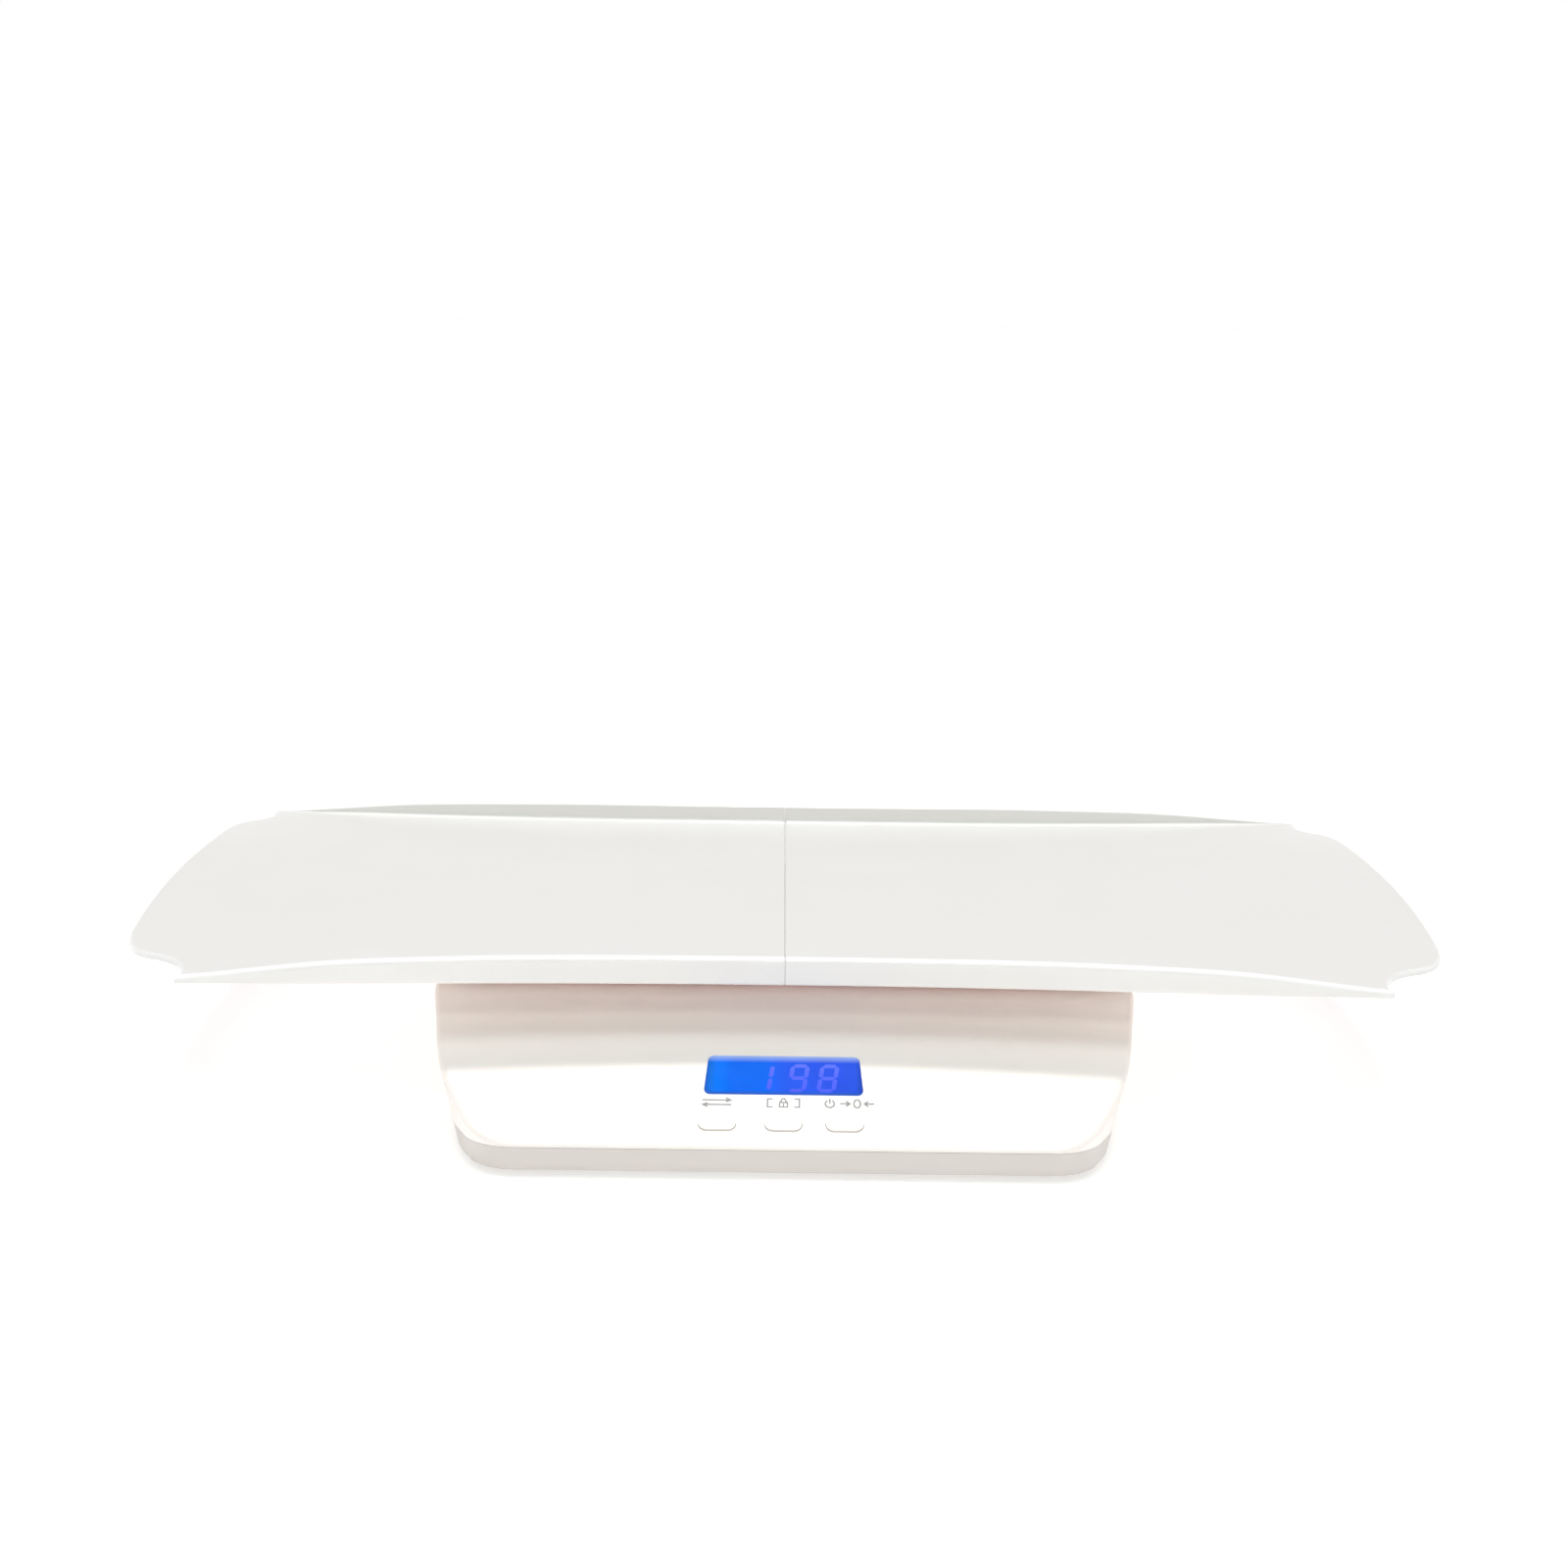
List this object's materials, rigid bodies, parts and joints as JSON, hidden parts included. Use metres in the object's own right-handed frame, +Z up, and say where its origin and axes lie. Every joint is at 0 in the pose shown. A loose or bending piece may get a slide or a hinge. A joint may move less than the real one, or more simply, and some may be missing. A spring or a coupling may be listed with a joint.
{
  "type": "digital baby weighing scale",
  "caption": "Baby weighing scale: a wide shallow two-part tray on a low square base with a sloped front panel, lit display and press keys.",
  "frame": {"origin": "centre of the bounding box, on the surface the scale stands on", "axes": "+X along the tray, to the right as the display is read; -Y is the display side; +Z up"},
  "size_m": [0.562, 0.3453, 0.081],
  "materials": {
    "shell_white": "satin gloss, moulded ABS",
    "shell_lower": "satin, moulded ABS",
    "tray_white": "satin gloss, moulded ABS",
    "window_blue": "clear lens over a blue backlit display",
    "lcd": "liquid crystal cell",
    "light_guide": "diffusing light guide",
    "dark_plastic": "fine texture",
    "conductive_rubber": "matte",
    "board_green": "solder mask over glass-fibre laminate",
    "chip_black": "moulded epoxy",
    "key_white": "satin",
    "steel_zinc": "zinc plated",
    "steel_spring": "nickel plated",
    "cap_grey": "moulded",
    "rubber_grey": "matte, slightly dusty",
    "gauge_white": "silicone coat",
    "cell_label": "shrink sleeve, unprinted",
    "wire_sleeve": "pvc insulation"
  },
  "bodies": {
    "base": {"top_cover": "shell_white", "bottom_shell": "shell_lower", "display_window": "window_blue", "lcd_glass": "lcd", "backlight_panel": "light_guide", "zebra_strip": "conductive_rubber", "lcd_frame": "dark_plastic", "main_board": "board_green", "board_chip": "chip_black", "key_switches": "dark_plastic", "board_screws": "steel_zinc", "strain_gauges": "gauge_white", "battery_cells": "cell_label", "battery_springs": "steel_spring", "battery_plates": "steel_spring", "case_screws": "steel_zinc", "platform_stiffener": "steel_zinc", "rail_front": "shell_white", "rail_rear": "shell_white", "rail_screws": "steel_zinc", "load_cell_wires": "wire_sleeve", "battery_wires": "wire_sleeve", "foot_cap_front_left": "cap_grey", "foot_pad_front_left": "rubber_grey", "load_cell_front_left": "steel_zinc", "cell_seat_front_left": "dark_plastic", "foot_cap_front_right": "cap_grey", "foot_pad_front_right": "rubber_grey", "load_cell_front_right": "steel_zinc", "cell_seat_front_right": "dark_plastic", "foot_cap_rear_left": "cap_grey", "foot_pad_rear_left": "rubber_grey", "load_cell_rear_left": "steel_zinc", "cell_seat_rear_left": "dark_plastic", "foot_cap_rear_right": "cap_grey", "foot_pad_rear_right": "rubber_grey", "load_cell_rear_right": "steel_zinc", "cell_seat_rear_right": "dark_plastic"},
    "button_unit": {"button_unit": "key_white"},
    "button_hold": {"button_hold": "key_white"},
    "button_power": {"button_power": "key_white"},
    "battery_door": {"battery_door": "shell_lower"},
    "tray_left": {"tray_left": "tray_white"},
    "tray_right": {"tray_right": "tray_white"}
  },
  "joints": [
    {"name": "unit_key_press", "type": "slide", "parent": "base", "child": "button_unit", "axis": [0, 0.5561, -0.8311], "range_m": [0, 0.0008], "stiffness_N_per_m": 1200, "springref_m": -0.0002},
    {"name": "hold_key_press", "type": "slide", "parent": "base", "child": "button_hold", "axis": [0, 0.5561, -0.8311], "range_m": [0, 0.0008], "stiffness_N_per_m": 1200, "springref_m": -0.0002},
    {"name": "power_key_press", "type": "slide", "parent": "base", "child": "button_power", "axis": [0, 0.5561, -0.8311], "range_m": [0, 0.0008], "stiffness_N_per_m": 1200, "springref_m": -0.0002},
    {"name": "battery_door_tilt", "type": "hinge", "parent": "base", "child": "battery_door", "pos_m": [0, 0.0567, 0.003], "axis": [1, 0, 0], "range_deg": [0, 75]},
    {"name": "tray_left_slide", "type": "slide", "parent": "base", "child": "tray_left", "axis": [-1, 0, 0], "range_m": [0, 0.125]},
    {"name": "tray_right_slide", "type": "slide", "parent": "base", "child": "tray_right", "axis": [1, 0, 0], "range_m": [0, 0.125]}
  ]
}
